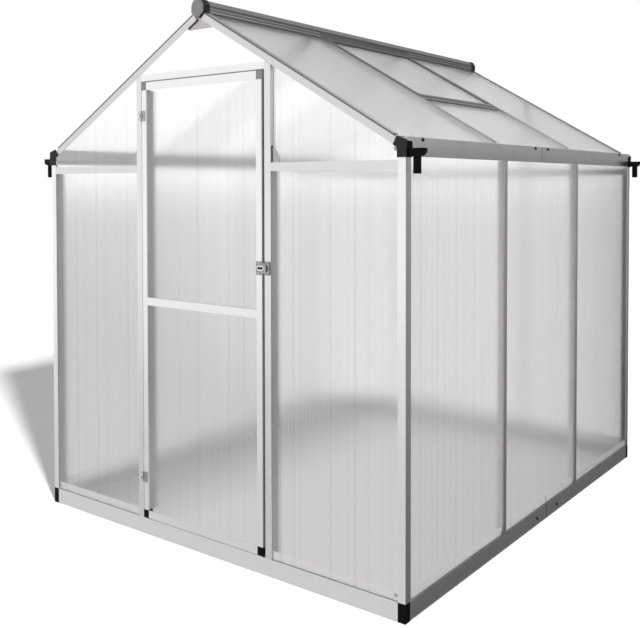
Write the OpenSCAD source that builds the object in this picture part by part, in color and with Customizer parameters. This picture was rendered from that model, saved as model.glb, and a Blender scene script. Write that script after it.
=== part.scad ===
// Walk-in greenhouse: aluminium glazing bars, twin-wall sheets and one hinged door.
// Millimetres, +Z up, origin on the ground under the middle, the door faces -Y.

/* [Frame] */
// Width between the outer faces of the side walls
frame_w = 1750; // [1500:10:2200]
// Length between the outer faces of the gable walls
frame_l = 2085; // [1800:5:2700]
// Height from the ground to the underside of the gutters
eave_h = 1436; // [1340:2:1600]
// Pitch of the roof in degrees
roof_pitch = 30; // [27:1:34]
// Height of the roof plane over the gutter underside, at the wall face
roof_rise = 46; // [44:1:50]

/* [Sheets] */
// Thickness of a twin-wall sheet
sheet_t = 4; // [4:0.5:6]
// Clearance between pieces that are slid or bolted together
fit = 0.3; // [0.2:0.05:0.5]

/* [Glazing bars] */
// Wall thickness of the extrusions
skin = 1.6; // [1.4:0.1:2]
// Width of a glazing bar's outer flange
bar_flange = 26; // [24:1:32]
// Depth of a glazing bar behind its outer face
bar_depth = 32; // [28:1:40]
// Thickness of a glazing bar's web
bar_web = 2; // [1.6:0.1:3]
// Reach of the glazing lips to each side of the web
lip_reach = 10; // [8:1:12]
// Width of the bolt channel along the inner edge of a bar
channel_w = 14; // [12:1:18]
// Depth of the bolt channel
channel_d = 9; // [8:1:12]
// Width of the bolt channel's mouth
channel_mouth = 7; // [6:0.5:8]

/* [Corner bars] */
// Width of a corner post on the gable side
post_front = 28; // [26:1:32]
// Width of a corner post on the long side
post_side = 31; // [26:1:34]
// Width of a gable rafter's face on the gable
rafter_face = 30; // [28:1:36]
// Width of a gable rafter's flange on the roof
rafter_top = 25; // [25:1:32]
// Reach of the glazing lips of corner posts and rafters
corner_lip = 24; // [18:1:25]
// Bore of the screw port in corner posts and rafters
screw_port = 3.4; // [3:0.2:4]

/* [Base] */
// Height of the base rails
base_h = 62; // [50:1:80]
// Depth of the base rails
base_d = 27; // [24:1:32]
// Side of the moulded block at each corner of the base
base_corner = 28; // [27:1:34]
// Height of the glazing upstand behind the sheets
sill_h = 30; // [20:1:36]
// Height of the returns along the inner edge of a base rail
base_return = 12; // [8:1:18]
// Distance of the joint in a side base rail from the middle
base_seam = 40; // [0:5:120]
// Width of the open joint between two lengths of rail or gutter
seam_gap = 2; // [1:0.5:3]
// Length of the plate that joins two lengths of base rail
base_joiner_l = 250; // [200:10:300]
// Thickness of the joining plates
joiner_t = 2; // [1.6:0.2:3]
// Length of the tongue with which a base corner plugs into a rail
tongue_l = 24; // [16:2:32]

/* [Gutters] */
// Height of the gutter's outer face
gutter_h = 60; // [56:1:66]
// Width of the gutter
gutter_w = 43; // [40:1:50]
// Height of the trough's floor over the gutter underside
gutter_floor = 16; // [14:1:18]
// Radius of the bead along the gutter's top edge
gutter_bead = 1.4; // [1:0.1:2]
// Bulge of the gutter's outer face beyond the wall face
gutter_bulge = 2.5; // [1:0.5:4]
// Length of the plate that joins two lengths of gutter
gutter_joiner_l = 140; // [100:10:200]

/* [Gutter ends] */
// Thickness of the moulded gutter end on the long side
cap_t = 2; // [1.6:0.2:3]
// Thickness of the moulded gutter end in front of the gable
cap_front = 6; // [4:0.5:8]
// Reach of the gutter end along the gutter
cap_l = 32; // [28:1:40]
// Width of the gutter end on the gable, below the rafter
cap_face = 29; // [27:1:34]
// Reach of the gutter end below the gutter
cap_drop = 3; // [2:0.5:5]
// Fall of the gutter end's top edge from the rafter to its outer side
cap_fall = 9; // [6:1:12]
// Distance of the gutter end's side plate below the gutter's top edge
cap_side_drop = 13; // [10:1:18]
// Radius of the upper corner of the gutter end's side plate
cap_round = 9; // [4:1:10]
// Distance of the downspout's axis from the wall face
spout_x = 30; // [26:1:36]
// Distance of the downspout's axis from the gable face
spout_y = 17; // [15:1:20]
// Outer diameter of the downspout
spout_od = 25; // [22:0.5:28]
// Bore of the downspout
spout_id = 21; // [18:0.5:24]
// Length of the downspout below its funnel
spout_l = 52; // [30:1:80]
// Outer radius of the funnel, seen from above
funnel_r = 15; // [14:0.5:18]
// Reach of the funnel's lip beyond the downspout's axis
funnel_reach = 33; // [26:1:40]
// Height of the funnel's rim over the gutter underside
funnel_top = 24; // [20:1:28]
// Height of the funnel's upright lip
funnel_lip = 9; // [6:1:10]
// Height of the funnel from its rim down to the downspout
funnel_drop = 25; // [20:1:30]

/* [Ridge] */
// Width of the ridge beam
ridge_w = 54; // [48:1:62]
// Height of the ridge beam over the roof's apex line
ridge_top = 29; // [24:1:34]
// Width of the ridge beam's flat top
ridge_flat = 31; // [26:1:36]
// Height of the shoulders over the roof's apex line
ridge_shoulder = 11; // [8:1:14]
// Depth of the ridge beam below the roof's apex line
ridge_drop = 32; // [30:1:38]
// Chamfer along the ridge beam's lower edges
ridge_chamfer = 7; // [5:0.5:9]
// Width of the tip at the bottom of the ridge's moulded ends
ridge_tip = 8; // [6:1:16]
// Distance from the apex line to the bottom of the sheet slots, along the slope
ridge_slot = 14; // [12:1:18]
// Thickness of the ridge's moulded ends in front of the gable
ridge_cap = 14; // [14:1:20]
// Reach of the ridge's moulded ends along the ridge
ridge_cap_l = 29; // [20:1:40]
// Wall of the ridge's moulded ends
ridge_cap_t = 2; // [1.5:0.25:3]

/* [Gables] */
// Distance of the gable posts' middle from the middle of the gable
gable_post_x = 324; // [300:1:360]
// Width of the gable posts' outer flange
gable_post_flange = 28; // [26:1:32]
// Distance of the eave rails' middle below the underside of the gutters
eave_rail_drop = 25; // [24:1:60]
// Height of the eave rails' face
eave_rail_h = 29; // [24:1:34]
// Height of the door header's face
header_h = 26; // [22:1:32]
// Room between the door header's upper corners and the rafters
header_room = 2.2; // [1:0.1:80]

/* [Door] */
// Gap between the moving door and the frame
door_gap = 5; // [5:0.5:8]
// Distance by which the door stands in front of the gable face
door_proud = 5; // [3:0.5:8]
// Thickness of the door frame
door_d = 22; // [20:1:26]
// Width of the door stiles
stile_w = 25; // [22:1:30]
// Height of the door rails
rail_h = 30; // [26:1:36]
// Width of the tube in a door stile
stile_box = 12; // [10:1:14]
// Height of the tube in a door rail
rail_box = 14; // [12:1:18]
// Reach of the glazing lips of the door frame
door_lip = 8; // [6:1:10]
// Thickness of the edge seals of the door
seal_t = 2.5; // [2:0.5:4]
// Height of the seal over the door's top rail
head_seal = 4; // [2:0.5:4]
// Height of the middle rail's centre above the ground
middle_rail_z = 905; // [800:5:1000]

/* [Hinges and latch] */
// Height of a hinge
hinge_h = 40; // [36:1:60]
// Height of the lower hinge's centre above the ground
hinge_low = 224; // [180:2:300]
// Distance of the upper hinge's centre below the top of the door
hinge_drop = 127; // [100:1:200]
// Thickness of the hinge leaves and latch plates
leaf_t = 1.6; // [1.2:0.1:2]
// Radius of the hinge knuckles
knuckle_r = 3.5; // [3:0.1:4]
// Radius of the hinge pins
pin_r = 1.6; // [1.4:0.1:2]
// Running clearance of the hinge pins
pin_fit = 0.06; // [0.03:0.01:0.09]
// Width of a hinge leaf
leaf_w = 20; // [16:1:22]
// Height of the latch's centre above the ground
latch_z = 1064; // [960:2:1200]
// Height of the latch plates
latch_h = 48; // [40:1:60]
// Width of the latch plates
latch_w = 24; // [20:1:26]
// Width of the slot in the hasp
hasp_slot_w = 9; // [8:0.5:11]
// Height of the slot in the hasp
hasp_slot_h = 24; // [20:1:28]
// Radius of the turn button's stem
button_r = 2.6; // [2:0.1:3]
// Height of the turn button
button_h = 17; // [14:1:18]
// Reach of the turn button in front of the hasp
button_reach = 6; // [5:0.5:7]

/* [Roof vent] */
// Distance from the apex line to the vent's sill bar, along the slope
vent_l = 580; // [480:5:700]
// Width of the vent's frame
vent_frame_w = 20; // [18:1:26]
// Height by which the vent's frame stands over the roof plane
vent_proud = 2; // [0:0.5:4]
// Width of the vent's sill bar
vent_sill_w = 26; // [22:1:32]

/* [Hidden] */

$fn = 48;
eps = 0.01;
silver = "#c4c4c6";
dark_grey = "#606063";
black = "#1c1c1d";
sheet_tint = [0.88, 0.88, 0.90, 0.7];

bays = 3;
bay_l = frame_l / bays;
half_w = frame_w / 2;
half_l = frame_l / 2;
apex_z = eave_h + roof_rise + half_w * tan(roof_pitch);
tall = apex_z + 2 * ridge_top;

// Depths of the glazing slot behind an outer face
slot = sheet_t + 2 * fit;
slot_in = skin + slot;
core = slot_in + skin;
sheet_in = skin + fit;
edge_in = core + fit;
web_side = bar_web / 2 + fit;

ridge_half = ridge_w / 2;
gutter_in = half_w - gutter_w;
gutter_inner_h = roof_z(gutter_in + skin, slot_in) - fit - eave_h;
gutter_arc = (gutter_h * gutter_h / 4 + gutter_bulge * gutter_bulge) / (2 * gutter_bulge);
eave_rail_z = eave_h - eave_rail_drop;
seat_y = half_l - base_corner;

header_x = gable_post_x - gable_post_flange / 2;
door_w = 2 * (header_x - door_gap);
door_z = base_h + door_gap;
door_y = -half_l - door_proud;
stile_x = door_w / 2 - seal_t;
header_z = roof_z(header_x, rafter_face + fit) - header_room - header_h;
door_h = header_z - door_gap - door_z;
hinge_x = -(door_w + door_gap) / 2;
hinge_y = door_y - knuckle_r - fit;
hinge_high = door_z + door_h - hinge_drop;
knuckle_split = hinge_h / 3;

// Height of a plane that lies "depth" below the roof plane, at a distance x from the middle
function roof_z(x, depth = 0) = apex_z - abs(x) * tan(roof_pitch) - depth / cos(roof_pitch);

// Middle of each inner bar along the length of the house
function bar_ys() = [for (i = [1 : bays - 1]) -half_l + i * bay_l];

// Shared sections, drawn with the outer face along y = 0

module bolt_channel_2d() {
    difference() {
        translate([-channel_w / 2, 0]) square([channel_w, channel_d]);
        translate([-channel_w / 2 + skin, skin]) square([channel_w - 2 * skin, channel_d - 2 * skin]);
        translate([-channel_mouth / 2, channel_d - 2 * skin]) square([channel_mouth, 3 * skin]);
    }
}

module glazing_bar_2d(flange) {
    translate([-flange / 2, 0]) square([flange, skin]);
    translate([-bar_web / 2, 0]) square([bar_web, bar_depth - channel_d + skin]);
    translate([-lip_reach, slot_in]) square([2 * lip_reach, skin]);
    translate([0, bar_depth - channel_d]) bolt_channel_2d();
}

module cross_rail_2d(flange) {
    translate([-flange / 2, 0]) square([flange, skin]);
    translate([-bar_web / 2, 0]) square([bar_web, base_d]);
    translate([-lip_reach, slot_in]) square([2 * lip_reach, skin]);
    translate([-lip_reach, base_d - skin]) square([2 * lip_reach, skin]);
}

module corner_bar_2d(leg_x, leg_y) {
    difference() {
        union() {
            square([leg_x, skin]);
            square([skin, leg_y]);
            square([core, core]);
            translate([slot_in, slot_in]) square([corner_lip - slot_in, skin]);
            translate([slot_in, slot_in]) square([skin, corner_lip - slot_in]);
        }
        translate([core / 2, core / 2]) circle(d = screw_port);
    }
}

module base_rail_2d() {
    difference() {
        square([base_d, base_h]);
        translate([skin, skin]) square([base_d - 2 * skin, base_h - 2 * skin]);
        translate([base_d - 2 * skin, base_return]) square([3 * skin, base_h - 2 * base_return]);
    }
    translate([slot_in, base_h - skin]) square([skin, sill_h + skin]);
}

// The outer face is a shallow arc, from the wall face at its bottom to the wall face at its top
module gutter_2d() {
    floor_x = skin / 2 - gutter_bulge / 2;
    intersection() {
        translate([-gutter_w / 2, 0]) square([gutter_w, gutter_h]);
        translate([gutter_arc - gutter_bulge, gutter_h / 2]) difference() {
            circle(r = gutter_arc);
            circle(r = gutter_arc - skin);
        }
    }
    translate([floor_x, gutter_floor]) square([gutter_w - floor_x, skin]);
    translate([slot_in, 0]) square([skin, gutter_floor + skin]);
    translate([gutter_w - skin, gutter_floor]) square([skin, gutter_inner_h - gutter_floor]);
    translate([gutter_bead, gutter_h - gutter_bead]) circle(r = gutter_bead);
}

// Two tubes, over and under the sheets, with a bolt channel's mouth along the bottom
module ridge_2d() {
    inner = ridge_half - skin;
    under = core / cos(roof_pitch);
    chamfer_in = ridge_half + ridge_drop - ridge_chamfer - skin * sqrt(2);
    low = ridge_drop - skin;
    difference() {
        polygon([[-ridge_flat / 2, ridge_top], [ridge_flat / 2, ridge_top],
                 [ridge_half, ridge_shoulder], [ridge_half, -ridge_drop + ridge_chamfer],
                 [ridge_half - ridge_chamfer, -ridge_drop], [-ridge_half + ridge_chamfer, -ridge_drop],
                 [-ridge_half, -ridge_drop + ridge_chamfer], [-ridge_half, ridge_shoulder]]);
        polygon([[-ridge_flat / 2 + skin, ridge_top - skin], [ridge_flat / 2 - skin, ridge_top - skin],
                 [inner, ridge_shoulder], [inner, -inner * tan(roof_pitch)], [0, 0],
                 [-inner, -inner * tan(roof_pitch)], [-inner, ridge_shoulder]]);
        polygon([[0, -under], [inner, -inner * tan(roof_pitch) - under], [inner, inner - chamfer_in],
                 [chamfer_in - low, -low], [low - chamfer_in, -low],
                 [-inner, inner - chamfer_in], [-inner, -inner * tan(roof_pitch) - under]]);
        translate([-channel_mouth / 2, -ridge_drop - skin]) square([channel_mouth, 3 * skin]);
        for (side = [0, 1]) mirror([side, 0]) {
            rotate(-roof_pitch) translate([ridge_slot, -slot_in]) square([ridge_w, slot]);
            for (rib = [1 : 3]) translate([ridge_half, rib * ridge_shoulder / 4]) circle(r = skin / 2);
        }
    }
}

module door_section_2d(face, box) {
    square([face, skin]);
    difference() {
        square([box, door_d]);
        translate([skin, skin]) square([box - 2 * skin, door_d - 2 * skin]);
    }
    translate([box - skin, slot_in]) square([door_lip + skin, skin]);
}

// Placing on the walls and the roof

module both_sides() {
    for (side = [0, 1]) mirror([side, 0, 0]) children();
}

module at_corners() {
    for (side = [0, 1], end = [0, 1])
        mirror([side, 0, 0]) mirror([0, end, 0]) translate([-half_w, -half_l, 0]) children();
}

// Lays a section drawn as depth and height along the right-hand wall
module along_right_wall(y_start, y_end) {
    translate([half_w, y_start, 0]) rotate([90, 0, 180]) linear_extrude(y_end - y_start) children();
}

// Lays a section drawn as depth and height along the front gable
module along_front(x_start, x_end) {
    translate([x_start, -half_l, 0]) rotate([90, 0, 90]) linear_extrude(x_end - x_start) children();
}

// Depth along x, length of the house along y and distance down the slope along z
module on_right_slope() {
    translate([0, 0, apex_z]) rotate([0, 90 + roof_pitch, 0]) children();
}

module ridge_to_gutter() {
    intersection() {
        children();
        translate([ridge_half + fit, -frame_l, 0]) cube([gutter_in - ridge_half - 2 * fit, 2 * frame_l, tall]);
    }
}

module gable_plate(points, thick, depth) {
    translate([0, -half_l + depth, 0]) rotate([90, 0, 0]) translate([0, 0, -thick]) linear_extrude(thick) polygon(points);
}

module upright(section_x, height) {
    translate([section_x, -half_l, base_h]) linear_extrude(height) children();
}

// Keeps what lies below the gable rafters
module below_rafters() {
    reach = rafter_face + fit;
    intersection() {
        children();
        translate([0, frame_l, 0]) rotate([90, 0, 0]) linear_extrude(2 * frame_l)
            polygon([[-half_w, 0], [half_w, 0], [half_w, roof_z(half_w, reach)],
                     [0, roof_z(0, reach)], [-half_w, roof_z(half_w, reach)]]);
    }
}

// Base

module sill_gap(x_start, x_end) {
    translate([x_start, -half_l - eps, base_h]) cube([x_end - x_start, base_d, sill_h + eps]);
}

module gable_base(gaps) {
    color(silver) difference() {
        along_front(-half_w + base_corner, half_w - base_corner) base_rail_2d();
        for (gap = gaps) sill_gap(gap[0], gap[1]);
    }
}

module base_front() {
    reach = gable_post_x + lip_reach + fit;
    gable_base([[-reach, reach]]);
}

module base_back() {
    reach = lip_reach + fit;
    mirror([0, 1, 0])
        gable_base([for (x = [-gable_post_x, gable_post_x]) [x - reach, x + reach]]);
}

module side_base() {
    reach = lip_reach + fit;
    color(silver) difference() {
        union() {
            along_right_wall(-seat_y, base_seam - seam_gap / 2) base_rail_2d();
            along_right_wall(base_seam + seam_gap / 2, seat_y) base_rail_2d();
        }
        for (y = bar_ys())
            translate([half_w - base_d, y - reach, base_h]) cube([base_d + eps, 2 * reach, sill_h + eps]);
    }
}

module base_left() { mirror([1, 0, 0]) side_base(); }

module base_right() { side_base(); }

module base_joiners() {
    color(silver) both_sides()
        translate([half_w - skin - fit - joiner_t, base_seam - base_joiner_l / 2, skin + fit])
            cube([joiner_t, base_joiner_l, base_h - 2 * (skin + fit)]);
}

module base_corners() {
    wall = 2 * skin;
    plug = base_d - 3 * skin - fit;
    color(black) at_corners() {
        difference() {
            cube([base_corner, base_corner, base_h]);
            translate([wall, wall, -eps]) cube([base_corner - 2 * wall, base_corner - 2 * wall, base_h - wall]);
        }
        translate([base_corner - eps, skin + fit, skin + fit])
            cube([tongue_l, plug, base_return - skin - 2 * fit]);
        translate([skin + fit, base_corner - eps, skin + fit])
            cube([plug, tongue_l, base_return - skin - 2 * fit]);
    }
}

// Uprights and rails

module corner_posts() {
    color(silver) at_corners()
        translate([0, 0, base_h]) linear_extrude(eave_h - base_h) corner_bar_2d(post_front, post_side);
}

module side_bars() {
    color(silver) for (y = bar_ys())
        translate([half_w, y, base_h]) rotate([0, 0, 90])
            linear_extrude(eave_h - base_h) glazing_bar_2d(bar_flange);
}

module left_wall_bars() { mirror([1, 0, 0]) side_bars(); }

module right_wall_bars() { side_bars(); }

module gable_posts() {
    color(silver) both_sides() below_rafters()
        upright(gable_post_x, tall) glazing_bar_2d(gable_post_flange);
}

module front_posts() { gable_posts(); }

module back_posts() { mirror([0, 1, 0]) gable_posts(); }

module eave_rail(x_start, x_end) {
    color(silver) along_front(x_start, x_end) translate([0, eave_rail_z]) rotate(90) mirror([0, 1])
        cross_rail_2d(eave_rail_h);
}

module outer_eave_rails() {
    both_sides() eave_rail(gable_post_x + gable_post_flange / 2, half_w - post_front);
}

module front_eave_rails() { outer_eave_rails(); }

module back_eave_rails() {
    mirror([0, 1, 0]) {
        outer_eave_rails();
        eave_rail(-header_x, header_x);
    }
}

module door_header() {
    color(silver) along_front(-header_x, header_x) translate([0, header_z + header_h / 2]) rotate(90) mirror([0, 1])
        cross_rail_2d(header_h);
}

// Gutters

// Hole through which the trough empties into the funnel, at the front left corner
module drain_hole() {
    drain_w = spout_id - 2 * skin;
    drain_z = eave_h + gutter_floor + skin;
    translate([-2 * skin, spout_y - drain_w / 2, drain_z])
        cube([gutter_w / 2, drain_w, eave_h + funnel_top - skin - drain_z]);
}

module side_gutter() {
    color(silver) difference() {
        translate([0, 0, eave_h]) {
            along_right_wall(-half_l, -seam_gap / 2) gutter_2d();
            along_right_wall(seam_gap / 2, half_l) gutter_2d();
        }
        at_corners() drain_hole();
    }
}

module left_gutter() { mirror([1, 0, 0]) side_gutter(); }

module right_gutter() { side_gutter(); }

module gutter_joiners() {
    low = gutter_floor + skin + fit;
    color(silver) both_sides()
        translate([half_w - fit - joiner_t, -gutter_joiner_l / 2, eave_h + low])
            cube([joiner_t, gutter_joiner_l, gutter_h - 2 * low]);
}

// Outline of the funnel from above, with its wall set in by inset
module funnel_plan(inset, wall_x) {
    r = funnel_r - inset;
    centre = spout_x + funnel_reach - funnel_r;
    translate([-centre, spout_y]) {
        circle(r = r);
        translate([0, -r]) square([centre - wall_x, 2 * r]);
    }
}

// Side outline of the funnel, from its rim at height 0 down to the downspout
module funnel_side(inset, rim, bore) {
    heel = funnel_top - gutter_floor;
    lip_x = -spout_x - funnel_reach + inset;
    polygon([[0, rim], [lip_x, rim], [lip_x, inset - funnel_lip], [-spout_x - bore / 2, inset - funnel_drop],
             [-spout_x + bore / 2, inset - funnel_drop], [0, inset - heel]]);
}

module funnel_solid(inset, rim, bore, wall_x) {
    intersection() {
        linear_extrude(4 * funnel_top, center = true) funnel_plan(inset, wall_x);
        rotate([90, 0, 0]) linear_extrude(8 * funnel_r, center = true) funnel_side(inset, rim, bore);
    }
}

// Side plate of a gutter end, from its lower edge in front of the gable
module cap_side_2d() {
    height = gutter_h + cap_drop - cap_side_drop;
    hull() {
        square([cap_front + cap_l, skin]);
        translate([0, height - skin]) square([skin, skin]);
        translate([cap_front + cap_l - cap_round, height - cap_round]) circle(r = cap_round);
    }
}

// Gutter end at the front left corner, measured from the wall faces
module gutter_end() {
    outer_x = gutter_bulge + cap_t;
    top = roof_z(half_w - cap_face);
    tip_x = cap_face + rafter_face * sin(roof_pitch);
    tip_z = top - rafter_face * cos(roof_pitch);
    low = eave_h - cap_drop;
    rim_z = eave_h + funnel_top;
    tube_top = rim_z - funnel_drop;
    difference() {
        union() {
            rotate([90, 0, 0]) linear_extrude(cap_front)
                polygon([[-outer_x, low], [cap_face, low],
                         [cap_face, tip_z - (tip_x - cap_face) * tan(roof_pitch)],
                         [tip_x, tip_z], [cap_face, top], [-outer_x, eave_h + gutter_h - cap_fall]]);
            translate([-outer_x, -cap_front, low]) rotate([90, 0, 90]) linear_extrude(cap_t) cap_side_2d();
            translate([0, 0, rim_z]) funnel_solid(0, 0, spout_od, gutter_bulge + cap_t / 2);
            translate([-spout_x, spout_y, tube_top - spout_l]) cylinder(d = spout_od, h = spout_l);
        }
        translate([0, 0, rim_z]) funnel_solid(skin, gutter_floor, spout_id, outer_x);
        translate([-spout_x, spout_y, tube_top - 2 * spout_l]) cylinder(d = spout_id, h = 3 * spout_l);
        translate([-2 * outer_x, 0, 0]) drain_hole();
    }
}

module gutter_ends() {
    color(black) at_corners() gutter_end();
}

// Roof frame

// The face on the gable runs on past the end of the ridge beam and is cut square
module front_rafter_pair() {
    top_s = (ridge_half + fit) / cos(roof_pitch);
    color(silver) both_sides() difference() {
        on_right_slope() translate([0, -half_l, top_s])
            linear_extrude(frame_w) corner_bar_2d(rafter_face, rafter_top);
        translate([0, -half_l + skin, 0]) cube([ridge_half + fit, frame_l, tall]);
        translate([gutter_in - fit, -frame_l, 0]) cube([frame_w, 2 * frame_l, tall]);
    }
}

module front_rafters() { front_rafter_pair(); }

module back_rafters() { mirror([0, 1, 0]) front_rafter_pair(); }

module right_bars() {
    color(silver) for (y = bar_ys())
        ridge_to_gutter() on_right_slope() translate([0, y, 0]) rotate([0, 0, -90])
            linear_extrude(frame_w) glazing_bar_2d(bar_flange);
}

module left_roof_bars() { mirror([1, 0, 0]) right_bars(); }

module right_roof_bars() { right_bars(); }

module ridge_beam() {
    reach = half_l - skin - fit;
    color(dark_grey) translate([0, reach, apex_z]) rotate([90, 0, 0]) linear_extrude(2 * reach) ridge_2d();
}

// Outline of the ridge over the roof plane, grown by a wall
module ridge_cover_2d(grow) {
    low = -ridge_half * tan(roof_pitch) + fit;
    polygon([[-ridge_flat / 2 - grow / 2, ridge_top + grow], [ridge_flat / 2 + grow / 2, ridge_top + grow],
             [ridge_half + grow, ridge_shoulder + grow / 2], [ridge_half + grow, low],
             [-ridge_half - grow, low], [-ridge_half - grow, ridge_shoulder + grow / 2]]);
}

// Outline of the ridge end's face, which comes to a tip between the rafters
module ridge_face_2d(grow) {
    side = ridge_half + grow;
    tip = ridge_tip / 2 + grow / 2;
    low = -ridge_half * tan(roof_pitch) + fit;
    polygon([[-ridge_flat / 2 - grow / 2, ridge_top + grow], [ridge_flat / 2 + grow / 2, ridge_top + grow],
             [side, ridge_shoulder + grow / 2], [side, low], [tip, -ridge_drop - grow],
             [-tip, -ridge_drop - grow], [-side, low], [-side, ridge_shoulder + grow / 2]]);
}

module ridge_end() {
    face = ridge_cap / 2;
    translate([0, -half_l, apex_z]) rotate([90, 0, 0]) {
        linear_extrude(face) ridge_face_2d(ridge_cap_t);
        hull() {
            translate([0, 0, face - eps]) linear_extrude(eps) ridge_face_2d(ridge_cap_t);
            translate([0, 0, ridge_cap - eps]) linear_extrude(eps) ridge_face_2d(-2 * ridge_cap_t);
        }
        translate([0, 0, -ridge_cap_l]) linear_extrude(ridge_cap_l + eps) difference() {
            ridge_cover_2d(ridge_cap_t);
            ridge_cover_2d(0);
            translate([-ridge_half, -ridge_w]) square([ridge_w, ridge_w]);
        }
    }
}

module ridge_ends() {
    color(black) for (end = [0, 1]) mirror([0, end, 0]) ridge_end();
}

// Sheets of the walls

module side_wall_sheets() {
    top = eave_h + gutter_floor - fit;
    edges = concat([-half_l + edge_in], [for (y = bar_ys()) each [y - web_side, y + web_side]], [half_l - edge_in]);
    color(sheet_tint) for (i = [0 : bays - 1])
        translate([half_w - sheet_in - sheet_t, edges[2 * i], base_h])
            cube([sheet_t, edges[2 * i + 1] - edges[2 * i], top - base_h]);
}

module left_wall_sheets() { mirror([1, 0, 0]) side_wall_sheets(); }

module right_wall_sheets() { side_wall_sheets(); }

module gable_wall_sheet(x_start, x_end) {
    translate([x_start, -half_l + sheet_in, base_h])
        cube([x_end - x_start, sheet_t, eave_rail_z - web_side - base_h]);
}

module outer_wall_sheets() {
    color(sheet_tint) both_sides() gable_wall_sheet(gable_post_x + web_side, half_w - edge_in);
}

module front_wall_sheets() { outer_wall_sheets(); }

module back_wall_sheets() {
    mirror([0, 1, 0]) {
        outer_wall_sheets();
        color(sheet_tint) gable_wall_sheet(-gable_post_x + web_side, gable_post_x - web_side);
    }
}

module outer_gable_sheets() {
    inner = gable_post_x + web_side;
    bottom = eave_rail_z + web_side;
    color(sheet_tint) both_sides()
        gable_plate([[inner, bottom], [half_w - edge_in, bottom], [half_w - edge_in, eave_h - fit],
                     [gutter_in - fit, eave_h - fit], [gutter_in - fit, roof_z(gutter_in - fit, edge_in)],
                     [inner, roof_z(inner, edge_in)]], sheet_t, sheet_in);
}

module middle_gable_sheet(bottom) {
    outer = gable_post_x - web_side;
    notch_x = ridge_half + fit;
    notch_z = apex_z - ridge_drop - fit;
    color(sheet_tint)
        gable_plate([[-outer, bottom], [outer, bottom], [outer, roof_z(outer, edge_in)],
                     [notch_x, roof_z(notch_x, edge_in)], [notch_x, notch_z], [-notch_x, notch_z],
                     [-notch_x, roof_z(notch_x, edge_in)], [-outer, roof_z(outer, edge_in)]], sheet_t, sheet_in);
}

module front_gable_sheets() {
    outer_gable_sheets();
    middle_gable_sheet(header_z + header_h / 2 + web_side);
}

module back_gable_sheets() {
    mirror([0, 1, 0]) {
        outer_gable_sheets();
        middle_gable_sheet(eave_rail_z + web_side);
    }
}

// Sheets of the roof

roof_top_s = ridge_slot + fit;
roof_end_s = (half_w - gutter_w * 3 / 4) / cos(roof_pitch);

module roof_sheet(bay, top_s) {
    edges = concat([-half_l + edge_in], [for (y = bar_ys()) each [y - web_side, y + web_side]], [half_l - edge_in]);
    on_right_slope() translate([sheet_in, edges[2 * bay], top_s])
        cube([sheet_t, edges[2 * bay + 1] - edges[2 * bay], roof_end_s - top_s]);
}

module left_roof_sheets() {
    color(sheet_tint) mirror([1, 0, 0]) for (bay = [0 : bays - 1]) roof_sheet(bay, roof_top_s);
}

module right_roof_sheets() {
    vent_bay = floor(bays / 2);
    color(sheet_tint) for (bay = [0 : bays - 1])
        roof_sheet(bay, bay == vent_bay ? vent_l + vent_sill_w / 2 + web_side : roof_top_s);
}

// Roof vent in the middle bay of the right-hand slope

vent_half = (bay_l - bar_flange) / 2 - fit;

module vent_sill_bar() {
    color(dark_grey) on_right_slope() translate([0, vent_half, vent_l + vent_sill_w / 2]) rotate([90, 0, 0])
        linear_extrude(2 * vent_half) rotate(-90) cross_rail_2d(vent_sill_w);
}

module vent_frame() {
    top_s = (ridge_half + fit) / cos(roof_pitch) + vent_proud + slot_in;
    color(silver) on_right_slope() difference() {
        translate([-vent_proud, -vent_half, top_s]) cube([vent_proud + slot_in + skin, 2 * vent_half, vent_l - fit - top_s]);
        translate([-vent_proud - eps, -vent_half + vent_frame_w, top_s + vent_frame_w])
            cube([vent_proud + slot_in + 2 * skin, 2 * (vent_half - vent_frame_w), vent_l - fit - top_s - 2 * vent_frame_w]);
        translate([skin, -vent_half + skin, top_s + skin])
            cube([slot, 2 * (vent_half - skin), vent_l - fit - top_s - 2 * skin]);
    }
}

module vent_sheet() {
    top_s = (ridge_half + fit) / cos(roof_pitch) + vent_proud + slot_in + skin + fit;
    color(sheet_tint) on_right_slope()
        translate([sheet_in, -vent_half + skin + fit, top_s])
            cube([sheet_t, 2 * (vent_half - skin - fit), vent_l - 2 * fit - skin - top_s]);
}

// Door

module door_stiles() {
    color(silver) both_sides() translate([stile_x, door_y, door_z + rail_h]) mirror([1, 0, 0])
        linear_extrude(door_h - 2 * rail_h) door_section_2d(stile_w, stile_box);
}

// A rail with its outer edge at height z and its glazing slot upwards
module door_rail(z) {
    reach = stile_x - stile_w;
    translate([-reach, door_y, z]) rotate([90, 0, 90]) linear_extrude(2 * reach)
        rotate(90) mirror([0, 1]) door_section_2d(rail_h, rail_box);
}

module door_bottom_rail() {
    color(silver) door_rail(door_z);
}

module door_top_rail() {
    color(silver) translate([0, 0, 2 * door_z + door_h]) mirror([0, 0, 1]) door_rail(door_z);
}

module door_middle_rail() {
    reach = stile_x - stile_w;
    color(silver) translate([-reach, door_y, middle_rail_z]) rotate([90, 0, 90]) linear_extrude(2 * reach)
        rotate(90) mirror([0, 1]) {
            translate([-rail_h / 2, 0]) square([rail_h, skin]);
            difference() {
                translate([-rail_box / 2, 0]) square([rail_box, door_d]);
                translate([-rail_box / 2 + skin, skin]) square([rail_box - 2 * skin, door_d - 2 * skin]);
            }
            translate([-rail_box / 2 - door_lip, slot_in]) square([rail_box + 2 * door_lip, skin]);
        }
}

module door_corner() {
    difference() {
        cube([stile_w + seal_t, door_d, rail_h]);
        translate([stile_box + seal_t, skin, rail_box]) cube([stile_w, slot, rail_h]);
        translate([3 * skin, door_d - skin, 3 * skin])
            cube([stile_w + seal_t - 6 * skin, 2 * skin, rail_h - 6 * skin]);
    }
}

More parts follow.
